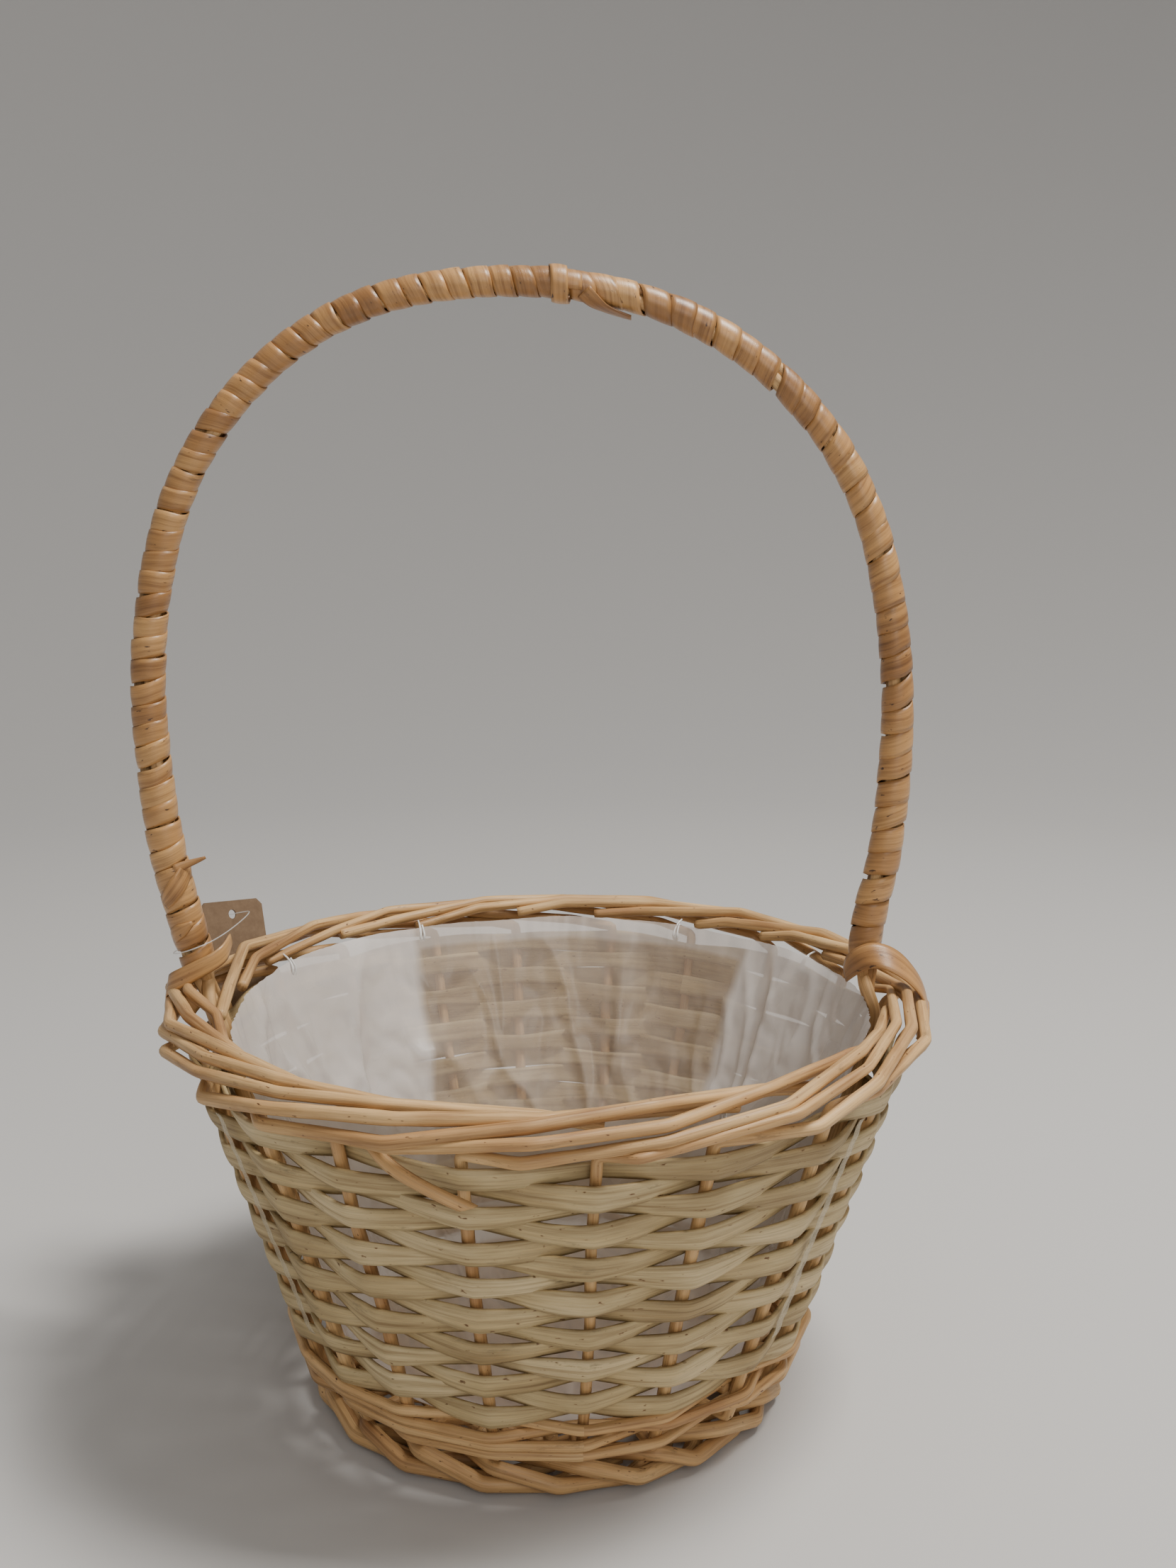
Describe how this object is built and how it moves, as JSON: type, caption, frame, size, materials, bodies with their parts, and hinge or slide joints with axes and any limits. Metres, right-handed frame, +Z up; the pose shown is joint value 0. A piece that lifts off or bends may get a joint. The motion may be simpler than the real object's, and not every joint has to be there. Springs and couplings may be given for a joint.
{
  "type": "flower girl basket",
  "caption": "Small round willow basket with flared woven sides, rolled border, tall wrapped bow handle, clear film liner and a hang tag.",
  "frame": {"origin": "on the table at the middle of the foot border", "axes": "+Z up, +X to the right along the bow handle's span, -Y towards the front"},
  "size_m": [0.2324, 0.2204, 0.3277],
  "materials": {
    "round_willow": "satin peeled willow rod",
    "split_willow": "matte split willow",
    "willow_skin": "glossy willow skin",
    "clear_ribbon": "thin pale ribbon",
    "liner_film": "milky film",
    "thread": "white thread",
    "kraft_card": "brown card",
    "nylon": "clear nylon"
  },
  "bodies": {
    "basket": {"stake_01": "round_willow", "stake_02": "round_willow", "stake_03": "round_willow", "stake_04": "round_willow", "stake_05": "round_willow", "stake_06": "round_willow", "stake_07": "round_willow", "stake_08": "round_willow", "stake_09": "round_willow", "stake_10": "round_willow", "stake_11": "round_willow", "stake_12": "round_willow", "stake_13": "round_willow", "stake_14": "round_willow", "stake_15": "round_willow", "stake_16": "round_willow", "stake_17": "round_willow", "stake_18": "round_willow", "stake_19": "round_willow", "stake_20": "round_willow", "weaver_row_01": "split_willow", "weaver_row_02": "split_willow", "weaver_row_03": "split_willow", "weaver_row_04": "split_willow", "weaver_row_05": "split_willow", "weaver_row_06": "split_willow", "weaver_row_07": "split_willow", "weaver_row_08": "split_willow", "weaver_row_09": "split_willow", "weaver_row_10": "split_willow", "weaver_row_11": "split_willow", "weaver_row_12": "split_willow", "weaver_row_13": "split_willow", "weaver_row_14": "split_willow", "weaver_row_15": "split_willow", "wale_rod_1": "round_willow", "wale_rod_2": "round_willow", "wale_rod_3": "round_willow", "wale_rod_4": "round_willow", "foot_border": "round_willow", "base_sticks_across": "round_willow", "base_sticks_along": "round_willow", "base_weave": "round_willow", "handle_rod_front": "round_willow", "handle_rod_back": "round_willow", "handle_rod_outer": "round_willow", "handle_wrap_left": "willow_skin", "handle_wrap_right": "willow_skin", "lashing_left": "willow_skin", "lashing_right": "willow_skin", "side_strip_left": "clear_ribbon", "side_strip_right": "clear_ribbon", "loose_rod_end": "round_willow", "liner": "liner_film", "liner_stitches": "thread", "tag_loop": "nylon"},
    "tag": {"hang_tag": "kraft_card"}
  },
  "joints": [
    {"name": "tag_swing", "type": "hinge", "parent": "basket", "child": "tag", "pos_m": [-0.10401, 0.06138, 0.12816], "axis": [0.6668, 0.7361, -0.1159], "range_deg": [0, 50]}
  ]
}
